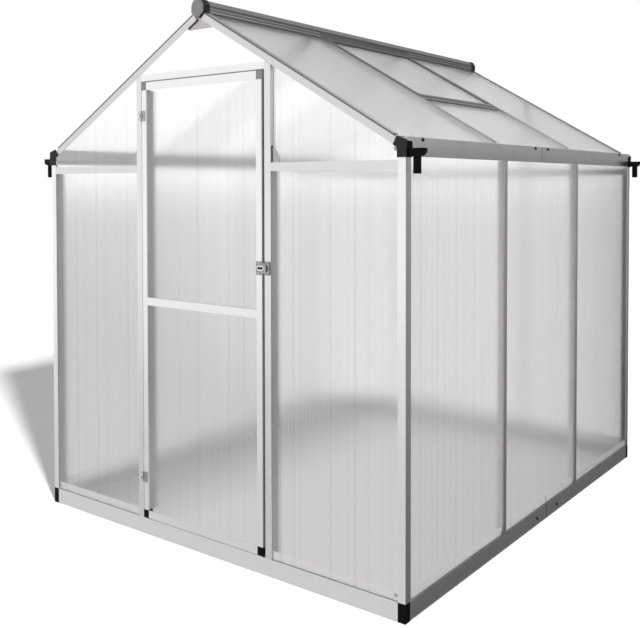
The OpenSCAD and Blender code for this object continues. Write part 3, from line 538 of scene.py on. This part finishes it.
def fastener_tree():
    """A node tree that puts a fastener's head on every point and turns it to the point's facing."""
    tree = bpy.data.node_groups.new("fastener_heads", "GeometryNodeTree")
    sockets = {"Points": "Geometry", "Sides": "Int", "Head Radius": "Float", "Head Height": "Float",
               "Washer Radius": "Float", "Washer Height": "Float", "Material": "Material"}
    for name, kind in sockets.items():
        tree.interface.new_socket(name, in_out="INPUT", socket_type="NodeSocket" + kind)
    tree.interface.new_socket("Geometry", in_out="OUTPUT", socket_type="NodeSocketGeometry")
    given = add_node(tree, "NodeGroupInput").outputs
    washer = add_node(tree, "GeometryNodeMeshCylinder", inputs={
        "Vertices": 20, "Radius": given["Washer Radius"], "Depth": given["Washer Height"]})
    head = add_node(tree, "GeometryNodeMeshCylinder", inputs={
        "Vertices": given["Sides"], "Radius": given["Head Radius"], "Depth": given["Head Height"]})
    # A rim and a driver's recess in the top of the head, as shares of its width and height
    recess_width, recess_depth = 0.55, 0.4
    rim = add_node(tree, "GeometryNodeExtrudeMesh", {"mode": "FACES"}, {
        "Mesh": head, "Selection": head.outputs["Top"], "Offset Scale": 0.0})
    inset = add_node(tree, "GeometryNodeScaleElements", {"domain": "FACE"}, {
        "Geometry": rim, "Selection": rim.outputs["Top"], "Scale": recess_width})
    depth = add_node(tree, "Math", {"operation": "MULTIPLY"},
                     {0: given["Head Height"], 1: -recess_depth})
    recess = add_node(tree, "GeometryNodeExtrudeMesh", {"mode": "FACES"}, {
        "Mesh": inset, "Selection": rim.outputs["Top"], "Offset Scale": depth})
    rise = add_node(tree, "Math", {"operation": "MULTIPLY_ADD"}, {
        0: given["Head Height"], 1: 0.5, 2: given["Washer Height"]})
    lift = add_node(tree, "CombineXYZ", inputs={"Z": rise})
    raised = add_node(tree, "GeometryNodeTransform", inputs={"Geometry": recess, "Translation": lift})
    half = add_node(tree, "Math", {"operation": "MULTIPLY"}, {0: given["Washer Height"], 1: 0.5})
    washer_lift = add_node(tree, "CombineXYZ", inputs={"Z": half})
    seated = add_node(tree, "GeometryNodeTransform", inputs={
        "Geometry": washer, "Translation": washer_lift})
    whole = add_node(tree, "GeometryNodeJoinGeometry")
    tree.links.new(raised.outputs["Geometry"], whole.inputs["Geometry"])
    tree.links.new(seated.outputs["Geometry"], whole.inputs["Geometry"])
    way = add_node(tree, "GeometryNodeInputNamedAttribute", {"data_type": "FLOAT_VECTOR"},
                   {"Name": "facing"})
    turn = add_node(tree, "FunctionNodeAlignRotationToVector", {"axis": "Z"},
                    {"Vector": way.outputs["Attribute"]})
    placed = add_node(tree, "GeometryNodeInstanceOnPoints", inputs={
        "Points": given["Points"], "Instance": whole, "Rotation": turn})
    real = add_node(tree, "GeometryNodeRealizeInstances", inputs={"Geometry": placed})
    finished = add_node(tree, "GeometryNodeSetMaterial", inputs={
        "Geometry": real, "Material": given["Material"]})
    add_node(tree, "NodeGroupOutput", inputs={"Geometry": finished})
    return tree


def add_fasteners(name, body, tree, spots, values):
    """Makes one plain mesh of fasteners at the spots, each a place and a facing, on one body."""
    sunk = 0.2 * MM
    mesh = bpy.data.meshes.new(name + "_points")
    mesh.from_pydata([Vector(place) - sunk * Vector(way) for place, way in spots], [], [])
    ways = mesh.attributes.new("facing", "FLOAT_VECTOR", "POINT")
    ways.data.foreach_set("vector", [part for place, way in spots for part in way])
    source = add_object(name + "_points", mesh)
    modifier = source.modifiers.new("heads", "NODES")
    modifier.node_group = tree
    for item in tree.interface.items_tree:
        if item.in_out == "INPUT" and item.name in values:
            modifier[item.identifier] = values[item.name]
    graph = bpy.context.evaluated_depsgraph_get()
    piece = add_object(name, bpy.data.meshes.new_from_object(source.evaluated_get(graph)))
    source.modifiers.remove(modifier)
    bpy.data.objects.remove(source)
    bpy.data.meshes.remove(mesh)
    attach(piece, body)


def mirror_spots(spots, ends):
    """The spots on both sides of the house, at one end, (1,), or both, (1, -1)."""
    return [((side * x, end * y, z), (side * fx, end * fy, fz))
            for (x, y, z), (fx, fy, fz) in spots for side in (1, -1) for end in ends]


def frame_bolt_spots():
    """Bolts of the base joints and gutters, and screws at the feet of the bars and posts."""
    right, front = (1, 0, 0), (0, -1, 0)
    gutter_way = Vector((1, 0, 0.13)).normalized()
    base_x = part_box("base_right")[1][0]
    # The gutter's side bulges, so it stands back a little near its top
    back, below_top = 1.5 * MM, 9 * MM
    gutter_x, gutter_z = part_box("right_gutter")[1][0] - back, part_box("right_gutter")[1][2] - below_top
    sheet_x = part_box("right_wall_sheets")[1][0]
    sheet_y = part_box("front_wall_sheets")[0][1]
    joint_z, corner_x, foot_rise, corner_rise = 28 * MM, 838 * MM, 8 * MM, 10 * MM
    foot_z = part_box("base_corners")[1][2] + foot_rise
    # Places along the house, from its middle
    joint_ys = (-55 * MM, 142 * MM)
    gutter_ys = (-944 * MM, -88 * MM, 31 * MM, 886 * MM)
    bar_ys = (-367 * MM, 328 * MM)
    joint = [((base_x, y, joint_z), right) for y in joint_ys]
    gutter = [((gutter_x, y, gutter_z), gutter_way) for y in gutter_ys]
    bar_foot = [((sheet_x, y, foot_z), right) for y in bar_ys]
    post_foot = [((corner_x, sheet_y, foot_z + corner_rise), front)]
    return (mirror_spots(joint + gutter, (1,)),
            mirror_spots(bar_foot, (1,)) + mirror_spots(post_foot, (1, -1)))


def screw_spots(node, x, face, edges):
    """Screws in the front of a node, at each of the edges in from its lower and its upper end."""
    low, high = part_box(node)
    return [((x, face, z), (0, -1, 0)) for edge in edges for z in (low[2] + edge, high[2] - edge)]


def bracket_outlines():
    """Outlines of the plates behind the front gable's sheets, as points across and up."""
    # The apex plate keeps clear of the ridge, and the tie laps the post and the rail
    clear_x, clear_z, lap_x, lap_z = 1 * MM, 2 * MM, 5 * MM, 2 * MM
    ridge_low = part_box("ridge_beam")[0][2] - clear_z
    ridge_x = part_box("ridge_beam")[1][0] + clear_x
    # The ridge stands up over the line where the roof planes meet
    ridge_rise, under_roof = 29 * MM, 12 * MM
    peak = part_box("ridge_beam")[1][2] - ridge_rise - under_roof
    reach, corner, drop = 75 * MM, 20 * MM, 40 * MM
    at_ridge, at_end = (peak - x * math.tan(ROOF_PITCH) for x in (ridge_x, reach))
    half = [(ridge_x, ridge_low), (ridge_x, at_ridge), (reach, at_end),
            (reach - corner, ridge_low - drop)]
    apex = half + [(-x, z) for x, z in reversed(half)]
    post_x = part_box("front_posts")[1][0] - lap_x
    rail_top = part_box("front_eave_rails")[1][2] - lap_z
    wide, narrow, low, high = 38 * MM, 16 * MM, 24 * MM, 60 * MM
    tie = [(post_x, rail_top), (post_x + wide, rail_top), (post_x + wide, rail_top + low),
           (post_x + narrow, rail_top + high), (post_x, rail_top + high)]
    return apex, tie


def oval_outline(x, z, half_length, radius):
    """Outline of a plate with round ends, as points across and up."""
    steps = 12
    straight = half_length - radius
    points = []
    for end in (1, -1):
        for step in range(steps + 1):
            angle = math.pi * (step / steps - 0.5)
            points.append((x + end * (straight + radius * math.cos(angle)),
                           z + end * radius * math.sin(angle)))
    return points


def add_plates(name, body, outlines, seats, thickness, material):
    """Flat plates with bevelled edges on each seat, a depth and the way out of it, as one piece."""
    shape = bmesh.new()
    for outline in outlines:
        for depth, out in seats:
            corners = [shape.verts.new((x, depth, z)) for x, z in outline]
            face = shape.faces.new(corners)
            grown = bmesh.ops.extrude_face_region(shape, geom=[face])
            moved = [v for v in grown["geom"] if isinstance(v, bmesh.types.BMVert)]
            bmesh.ops.translate(shape, verts=moved, vec=(0, out * thickness, 0))
    add_shape(name, body, shape, thickness / 5, material)


def add_shape(name, body, shape, edge, material):
    """Rounds the edges of a finished shape and makes it a piece of one body."""
    bmesh.ops.bevel(shape, geom=shape.edges[:], offset=edge, segments=2, affect="EDGES")
    bmesh.ops.recalc_face_normals(shape, faces=shape.faces[:])
    mesh = bpy.data.meshes.new(name)
    shape.to_mesh(mesh)
    shape.free()
    mesh.materials.append(material)
    piece = add_object(name, mesh)
    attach(piece, body)


def add_webs(name, body, settings, rows, material):
    """Upright webs on the ends of glazing lips, as one piece. A row is the lip's end on the right,
    the outer face, the ends of the house that have the web, and its lower and upper end."""
    shape = bmesh.new()
    for lip_x, face, ends, low, high in rows:
        middle_x = lip_x - settings.web / 2
        middle_y = face - settings.web_start / 2 - settings.web_depth / 2
        size = (settings.web, settings.web_depth - settings.web_start, high - low)
        for side in (-1, 1):
            for end in ends:
                middle = (side * middle_x, end * middle_y, (low + high) / 2)
                place = Matrix.Translation(middle) @ Matrix.Diagonal((*size, 1))
                bmesh.ops.create_cube(shape, size=1, matrix=place)
    add_shape(name, body, shape, settings.web / 5, material)


def head_values(sides, radius, height, washer_radius, washer_height, material):
    """Values of one kind of fastener for the node tree's inputs."""
    return {"Sides": sides, "Head Radius": radius, "Head Height": height, "Washer Radius": washer_radius,
            "Washer Height": washer_height, "Material": bpy.data.materials[material]}


def bolt_values(settings):
    """A blackened hexagon bolt with its washer."""
    return head_values(6, settings.bolt_radius, settings.bolt_height, settings.washer_radius,
                       settings.washer_height, "blackened_steel")


class GREENHOUSE_OT_add_fasteners(bpy.types.Operator):
    """Add the bolts and screws, and the oval and bosses on the hasp"""
    bl_idname = "greenhouse.add_fasteners"
    bl_label = "Add fasteners"

    def execute(self, context):
        settings = context.scene.greenhouse_fasteners
        tree = fastener_tree()
        screw_seat, boss_height = 0.4 * MM, 2.4 * MM
        screw = head_values(16, settings.screw_radius, settings.screw_height,
                            settings.screw_radius * 1.25, screw_seat, "zinc_plated_brackets")
        boss = head_values(20, settings.boss_radius, boss_height, settings.boss_radius * 1.1,
                           settings.plate, "blackened_steel")
        bolts, foot_screws = frame_bolt_spots()
        add_fasteners("frame_bolts", "frame", tree, bolts, bolt_values(settings))
        add_fasteners("foot_screws", "frame", tree, foot_screws, screw)
        leaf = 1.6 * MM
        post_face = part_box("front_posts")[0][1] - leaf
        door_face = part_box("door_stiles")[0][1] - leaf
        post_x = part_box("post_hinge_leaves")[0][0] + 8 * MM
        door_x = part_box("door_hinge_leaves")[1][0] - 7 * MM
        staple_x = (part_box("latch_staple")[0][0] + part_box("latch_staple")[1][0]) / 2
        hasp_low, hasp_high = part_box("latch_hasp")
        hasp_x, oval_x = hasp_low[0] + 12 * MM, hasp_low[0] + 20 * MM
        oval_z = (hasp_low[2] + hasp_high[2]) / 2
        leaf_edges, latch_edges = (9 * MM, 31 * MM), (4.5 * MM,)
        add_fasteners("post_screws", "frame", tree,
                      screw_spots("post_hinge_leaves", post_x, post_face, leaf_edges)
                      + screw_spots("latch_staple", staple_x, post_face, latch_edges), screw)
        add_fasteners("door_screws", "door", tree,
                      screw_spots("door_hinge_leaves", door_x, door_face, leaf_edges)
                      + screw_spots("latch_hasp", hasp_x, door_face, latch_edges), screw)
        oval_half, oval_radius, oval_rise, boss_step = 16.5 * MM, 9 * MM, 1.2 * MM, 5.5 * MM
        oval = oval_outline(oval_x, oval_z, oval_half, oval_radius)
        add_plates("hasp_oval", "door", [oval], [(door_face, -1)], oval_rise,
                   bpy.data.materials["bright_zinc_plate"])
        add_fasteners("hasp_boss", "door", tree, [((oval_x + step, door_face, oval_z), (0, -1, 0))
                                                  for step in (-boss_step, boss_step)], boss)
        return {"FINISHED"}


class GREENHOUSE_OT_add_webs(bpy.types.Operator):
    """Add the webs behind the sheets, which make the bars of the gables and the door deep; they put dark
    webs where bands of shade lie beside those bars, as painted shade
    """
    bl_idname = "greenhouse.add_webs"
    bl_label = "Add webs"

    def execute(self, context):
        settings = context.scene.greenhouse_fasteners
        metals = context.scene.greenhouse_metals
        # The webs' inner faces are darkened as painted shade
        metal = extruded_metal("mill_aluminium_webs", metals, metals.mill, "Z", [(inner_faces, 0.6, 0.5)])
        face = -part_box("front_posts")[0][1]
        foot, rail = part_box("base_corners")[1][2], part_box("front_eave_rails")[0][2]
        # How far the webs stand in from the outer edges of the posts, corner posts and stiles
        post_in, corner_in, stile_in = 4 * MM, 22.4 * MM, 18.4 * MM
        lips = (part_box("front_posts")[1][0] - post_in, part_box("corner_posts")[1][0] - corner_in)
        add_webs("post_webs", "frame", settings,
                 [(lip, face, (-1, 1), foot, rail) for lip in lips], metal)
        low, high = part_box("door_stiles")
        add_webs("stile_webs", "door", settings,
                 [(high[0] - stile_in, -low[1], (-1,), low[2], high[2])], metal)
        return {"FINISHED"}


class GREENHOUSE_OT_add_brackets(bpy.types.Operator):
    """Add the brackets behind the gable sheets, on the inner lips of the rafters and rails"""
    bl_idname = "greenhouse.add_brackets"
    bl_label = "Add brackets"

    def execute(self, context):
        settings = context.scene.greenhouse_fasteners
        apex, tie = bracket_outlines()
        lip = 1.9 * MM
        lips = -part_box("front_wall_sheets")[1][1] - lip
        far_tie = [(-x, z) for x, z in tie]
        add_plates("gable_brackets", "frame", (apex, tie, far_tie), [(-lips, 1), (lips, -1)],
                   settings.plate, bpy.data.materials["zinc_plated_brackets"])
        # Nuts in from the corners of the apex plate and of the ties
        (end_x, end_z), (foot_x, foot_z), (top_x, top_z) = apex[2], tie[1], tie[4]
        flats = [(end_x - 24 * MM, end_z - 6 * MM), (foot_x - 10 * MM, foot_z + 11 * MM),
                 (top_x + 8 * MM, top_z - 12 * MM)]
        nuts = [((x, settings.plate - lips, z), (0, 1, 0)) for x, z in flats]
        add_fasteners("bracket_nuts", "frame", bpy.data.node_groups["fastener_heads"],
                      mirror_spots(nuts, (1, -1)), bolt_values(settings))
        return {"FINISHED"}


# Stage

class GREENHOUSE_OT_build_stage(bpy.types.Operator):
    """Set up the camera, the white floor and the soft light"""
    bl_idname = "greenhouse.build_stage"
    bl_label = "Build stage"

    def execute(self, context):
        settings = context.scene.greenhouse_stage
        add_camera(context.scene, settings)
        floor = add_floor(settings)
        add_dark_cards()
        add_sun(settings, floor)
        add_sky(context.scene, settings)
        context.scene.view_settings.view_transform = "Standard"
        return {"FINISHED"}


def add_camera(scene, settings):
    """A camera with the photograph's eye point, angle and framing."""
    camera = add_object("camera", bpy.data.cameras.new("camera"))
    camera.data.sensor_width = 36
    camera.data.lens = settings.focal * camera.data.sensor_width
    camera.data.shift_y = settings.shift
    turn = Matrix.Rotation(settings.yaw, 4, "Z") @ Matrix.Rotation(math.pi / 2 + settings.pitch, 4, "X")
    camera.matrix_world = (Matrix.Translation(settings.eye) @ turn
                           @ Matrix.Rotation(settings.roll, 4, "Z"))
    scene.camera = camera


def stage_mesh(name, corners, faces, material):
    """A plain mesh of the stage."""
    mesh = bpy.data.meshes.new(name)
    mesh.from_pydata(corners, [], faces)
    mesh.materials.append(material)
    thing = add_object(name, mesh)
    return thing


def seen_share(tree):
    """1 for the rays that show the background, straight or in metal or through a sheet, or else 0."""
    path = add_node(tree, "LightPath")
    mirrored = add_node(tree, "Math", {"operation": "MAXIMUM"}, {
        0: path.outputs["Is Camera Ray"], 1: path.outputs["Is Glossy Ray"]})
    return add_node(tree, "Math", {"operation": "MAXIMUM"}, {
        0: mirrored, 1: path.outputs["Is Transmission Ray"]})


def inside_share(tree):
    """1 on the floor inside the walls and 0 outside them, with a soft edge."""
    soft = 60 * MM
    walls = {"X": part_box("base_right")[0][0], "Y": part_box("base_back")[0][1]}
    across, along = (add_node(tree, "MapRange", inputs={
        "Value": from_middle(tree, axis), "From Min": half, "From Max": half + soft,
        "To Min": 1.0, "To Max": 0.0}) for axis, half in walls.items())
    return where_both(tree, across, along)


def mirrored_floor(tree, settings):
    """Brightness of the floor in metal, an even grey that is brighter further away."""
    near, far = 2.5, 8.0
    away = add_node(tree, "VectorMath", {"operation": "LENGTH"}, {0: object_place(tree)})
    return add_node(tree, "MapRange", inputs={
        "Value": away.outputs["Value"], "From Min": near, "From Max": far,
        "To Min": settings.floor_mirrored, "To Max": 1.0})


def floor_outside(tree, settings):
    """Brightness of the floor outside through a sheet: bright behind the house, darker to the left as
    painted shade.
    """
    turn, gain = math.radians(50), 0.22
    way = add_node(tree, "VectorMath", {"operation": "NORMALIZE"}, {0: object_place(tree)})
    to_left = add_node(tree, "VectorMath", {"operation": "DOT_PRODUCT"}, {
        0: way.outputs["Vector"], 1: (-math.cos(turn), -math.sin(turn), 0)})
    return add_node(tree, "MapRange", inputs={
        "Value": to_left.outputs["Value"], "From Min": -0.17, "From Max": 0.1,
        "To Min": settings.floor_through + gain, "To Max": settings.floor_through})


def floor_indoors(tree, settings):
    """Brightness of the floor inside through a sheet: darker, most of all along the left wall, as painted
    shadow.
    """
    left_wall, past_back_wall, reach, dim, bright = -0.85, 1.37, 0.6, 0.62, 1.06
    axes = object_axes(tree)
    from_left = add_node(tree, "Math", {"operation": "SUBTRACT"}, {0: axes["X"], 1: left_wall})
    from_back = add_node(tree, "Math", {"operation": "SUBTRACT"}, {0: past_back_wall, 1: axes["Y"]})
    from_wall = add_node(tree, "Math", {"operation": "MINIMUM"}, {0: from_left, 1: from_back})
    return add_node(tree, "MapRange", inputs={
        "Value": from_wall, "From Min": 0.0, "From Max": reach,
        "To Min": settings.floor_inside * dim, "To Max": settings.floor_inside * bright})


def add_floor(settings):
    """A wide pale floor that keeps the shadow and otherwise runs into the white background."""
    seen_glow, mirrored_share = 0.01, 0.75
    material, tree = new_material("floor_sweep")
    matt = add_node(tree, "BsdfDiffuse", inputs={"Color": rgba(settings.floor)})
    lift = add_node(tree, "Math", {"operation": "MULTIPLY"}, {0: seen_share(tree), 1: seen_glow})
    glow = add_node(tree, "Emission", inputs={"Strength": lift})
    lit = add_node(tree, "AddShader", inputs={0: matt, 1: glow})
    # In metal and through a sheet the floor is a grey glow, with painted shade to the left and inside the
    # house
    path = add_node(tree, "LightPath")
    shown_through = add_node(tree, "Mix", {"data_type": "FLOAT"}, {
        0: inside_share(tree), 2: floor_outside(tree, settings), 3: floor_indoors(tree, settings)})
    grey = add_node(tree, "Mix", {"data_type": "FLOAT"}, {
        0: path.outputs["Is Transmission Ray"], 2: mirrored_floor(tree, settings),
        3: shown_through})
    even = add_node(tree, "Emission", inputs={"Color": rgba(linear("#fffeff")), "Strength": grey})
    glossy = add_node(tree, "Math", {"operation": "MULTIPLY"}, {
        0: path.outputs["Is Glossy Ray"], 1: mirrored_share})
    share = add_node(tree, "Math", {"operation": "MAXIMUM"}, {
        0: glossy, 1: path.outputs["Is Transmission Ray"]})
    whole = add_node(tree, "MixShader", inputs={0: share, 1: lit, 2: even})
    half = 300.0
    corners = [(-half, -half, 0), (half, -half, 0), (half, half, 0), (-half, half, 0)]
    return stage_mesh("floor", corners, [(0, 1, 2, 3)], with_surface(material, whole))


def card_material(name, strength):
    """A card that only reflections show, also those that then pass through a sheet."""
    material, tree = new_material(name)
    path = add_node(tree, "LightPath")
    mirrored = add_node(tree, "Math", {"operation": "MINIMUM"},
                        {0: path.outputs["Glossy Depth"], 1: 1.0})
    clear = add_node(tree, "BsdfTransparent")
    glow = add_node(tree, "Emission", inputs={"Strength": strength(tree)})
    card = add_node(tree, "MixShader", inputs={0: mirrored, 1: clear, 2: glow})
    return with_surface(material, card)


def right_card_shade(tree):
    """Dark beside the house, a little paler further out and further up."""
    axes = object_axes(tree)
    outward = add_node(tree, "MapRange", inputs={
        "Value": axes["X"], "From Min": 0.9, "From Max": 2.4, "To Min": 0.12, "To Max": 0.22})
    upward = add_node(tree, "MapRange", inputs={
        "Value": axes["Z"], "From Min": 0.0, "From Max": 5.0, "To Min": 0.0, "To Max": 0.18})
    return add_node(tree, "Math", {"operation": "ADD"}, {0: outward, 1: upward})


def back_card_shade(tree):
    """Pale on the right and darker to the left."""
    pale = bpy.context.scene.greenhouse_stage.back_card
    return add_node(tree, "MapRange", inputs={
        "Value": object_axes(tree)["X"], "From Min": -3.4, "From Max": -1.8,
        "To Min": pale * 0.45, "To Max": pale})


def add_dark_cards():
    """Dark cards right of the house, on the floor and behind, and a grey one high at the back.
    They shade the metal faces that look to the right, and the roof."""
    near, far, front, back, top, lift = 0.876, 9.0, -3.0, 6.0, 5.0, 2 * MM
    left, low, high = -8.0, 1.0, 9.0
    right_corners = [(near, front, lift), (far, front, lift), (far, back, lift), (near, back, lift),
                     (far, back, top), (near, back, top)]
    back_corners = [(left, back, low), (near, back, low), (near, back, high), (left, back, high)]
    cards = (
        stage_mesh("right_card", right_corners, [(0, 1, 2, 3), (3, 2, 4, 5)],
                   card_material("dark_card", right_card_shade)),
        stage_mesh("back_card", back_corners, [(0, 1, 2, 3)],
                   card_material("grey_card", back_card_shade)),
    )
    for card in cards:
        card.visible_camera = card.visible_diffuse = card.visible_shadow = False


def add_sun(settings, floor):
    """A soft lamp from the right and the front. It lights only the floor, to cast the shadow."""
    sun = add_object("shadow_lamp", bpy.data.lights.new("shadow_lamp", "SUN"))
    sun.data.energy = settings.sun
    sun.data.angle = math.radians(5)
    travel = Vector((-1.75, 0.925, -1.0))
    sun.rotation_mode = "QUATERNION"
    sun.rotation_quaternion = travel.to_track_quat("-Z", "Y")
    receivers = bpy.data.collections.new("shadow_receivers")
    receivers.objects.link(floor)
    sun.light_linking.receiver_collection = receivers


def add_sky(scene, settings):
    """White where it is seen; as light it is brighter from the left and the front."""
    scene.world = bpy.data.worlds.new("studio")
    scene.world.use_nodes = True
    tree = scene.world.node_tree
    tree.nodes.clear()
    way = add_node(tree, "TexCoord").outputs["Generated"]
    bright_side = Vector((-0.6, -0.7, 0.4)).normalized()
    towards = add_node(tree, "VectorMath", {"operation": "DOT_PRODUCT"}, {0: way, 1: bright_side})
    light = add_node(tree, "MapRange", inputs={
        "Value": towards.outputs["Value"], "From Min": -1.0, "From Max": 1.0,
        "To Min": settings.sky * 0.4, "To Max": settings.sky * 1.6})
    # The studio behind the sheets is overexposed, which makes up for what they hold back
    path = add_node(tree, "LightPath")
    seen = add_node(tree, "MapRange", inputs={
        "Value": path.outputs["Is Transmission Ray"], "To Min": 1.0, "To Max": settings.sky_through})
    strength = add_node(tree, "Mix", {"data_type": "FLOAT"}, {0: seen_share(tree), 2: light, 3: seen})
    sky = add_node(tree, "Background", inputs={"Color": rgba((1, 1, 1)), "Strength": strength})
    add_node(tree, "OutputWorld", inputs={"Surface": sky})


class GREENHOUSE_PT_build(bpy.types.Panel):
    """Steps that finish the greenhouse"""
    bl_idname = "GREENHOUSE_PT_build"
    bl_label = "Greenhouse"
    bl_space_type = "VIEW_3D"
    bl_region_type = "UI"
    bl_category = "Greenhouse"

    def draw(self, context):
        for step in OPERATORS:
            self.layout.operator(step.bl_idname)


SETTINGS = {
    "greenhouse_sheets": SheetSettings,
    "greenhouse_metals": MetalSettings,
    "greenhouse_mouldings": MouldingSettings,
    "greenhouse_fasteners": FastenerSettings,
    "greenhouse_stage": StageSettings,
}
OPERATORS = (
    GREENHOUSE_OT_finish_sheets,
    GREENHOUSE_OT_finish_metals,
    GREENHOUSE_OT_finish_mouldings,
    GREENHOUSE_OT_add_fasteners,
    GREENHOUSE_OT_add_webs,
    GREENHOUSE_OT_add_brackets,
    GREENHOUSE_OT_build_stage,
)
CLASSES = (*SETTINGS.values(), *OPERATORS, GREENHOUSE_PT_build)


def register():
    """Registers the settings, operators and panel."""
    for step in CLASSES:
        bpy.utils.register_class(step)
    for name, group in SETTINGS.items():
        setattr(bpy.types.Scene, name, PointerProperty(type=group))


def unregister():
    """Takes the settings, operators and panel away again."""
    for name in SETTINGS:
        delattr(bpy.types.Scene, name)
    for step in reversed(CLASSES):
        bpy.utils.unregister_class(step)


def main():
    """Runs every step in order."""
    register()
    for step in OPERATORS:
        getattr(bpy.ops.greenhouse, step.bl_idname.split(".")[1])()


if __name__ == "__main__":
    main()
